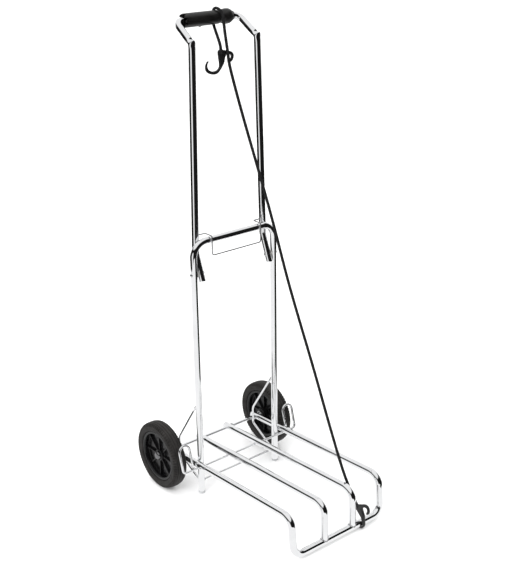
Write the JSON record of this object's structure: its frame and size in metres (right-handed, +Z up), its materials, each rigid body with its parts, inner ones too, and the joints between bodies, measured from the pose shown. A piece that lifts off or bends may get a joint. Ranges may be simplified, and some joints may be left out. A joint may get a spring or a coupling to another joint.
{
  "type": "folding beach cart",
  "caption": "Upright folding beach cart with chromed tube frame, rear wheels, fold-up tube platform, fold-down handle with black grip and an elastic cord with hooks.",
  "frame": {"origin": "centre of the footprint, on the floor; the elastic cord and its hooks are left out of the footprint", "axes": "+Z up, X across the cart, -Y towards the front (the platform and its front bar), +Y towards the wheels"},
  "size_m": [0.328, 0.5024, 1.0125],
  "materials": {
    "chrome": "bright chrome plate",
    "zinc_steel": "satin zinc plate",
    "tyre_rubber": "matt, moulded tread",
    "black_plastic": "fine satin moulding",
    "grip_plastic": "satin, soft sheen",
    "hook_plastic": "satin moulding",
    "elastic_cord": "braided, matt",
    "grey_plastic": "plain moulding",
    "white_nylon": "plain moulding"
  },
  "bodies": {
    "frame": {"frame_tube": "chrome", "foot_plug_left": "grey_plastic", "foot_plug_right": "grey_plastic", "guard_rod": "chrome", "lower_rod": "chrome", "axle_bracket_left": "chrome", "axle_bracket_right": "chrome", "axle": "zinc_steel", "axle_cap_left": "chrome", "axle_cap_right": "chrome", "wheel_washer_left": "zinc_steel", "wheel_washer_right": "zinc_steel", "axle_clip_inner_left": "zinc_steel", "axle_clip_inner_right": "zinc_steel", "axle_clip_outer_left": "zinc_steel", "axle_clip_outer_right": "zinc_steel", "pivot_rivet_left": "zinc_steel", "pivot_rivet_right": "zinc_steel", "pivot_spacer_left": "white_nylon", "pivot_spacer_right": "white_nylon"},
    "platform": {"platform_outer_tube": "chrome", "platform_inner_tube_left": "chrome", "platform_inner_tube_right": "chrome", "hook_lower": "hook_plastic"},
    "handle": {"handle_tube": "chrome", "grip": "grip_plastic", "cord": "elastic_cord", "hook_upper": "hook_plastic"},
    "lock_bail": {"lock_bail": "chrome"},
    "wheel_left": {"tyre_left": "tyre_rubber", "rim_left": "black_plastic", "hub_bush_left": "white_nylon"},
    "wheel_right": {"tyre_right": "tyre_rubber", "rim_right": "black_plastic", "hub_bush_right": "white_nylon"}
  },
  "joints": [
    {"name": "wheel_spin_left", "type": "hinge", "parent": "frame", "child": "wheel_left", "pos_m": [-0.148, 0.16705, 0.075], "axis": [1, 0, 0], "continuous": true},
    {"name": "wheel_spin_right", "type": "hinge", "parent": "frame", "child": "wheel_right", "pos_m": [0.148, 0.16705, 0.075], "axis": [1, 0, 0], "continuous": true},
    {"name": "platform_fold", "type": "hinge", "parent": "frame", "child": "platform", "pos_m": [0, 0.16705, 0.075], "axis": [-1, 0, 0], "range_deg": [0, 83]},
    {"name": "handle_fold", "type": "hinge", "parent": "frame", "child": "handle", "pos_m": [0, 0.08405, 0.5044], "axis": [-1, 0, 0], "range_deg": [0, 162], "deforming": ["cord"]},
    {"name": "lock_bail_swing", "type": "hinge", "parent": "handle", "child": "lock_bail", "pos_m": [0, 0.09865, 0.58], "axis": [-1, 0, 0], "range_deg": [0, 180]}
  ]
}
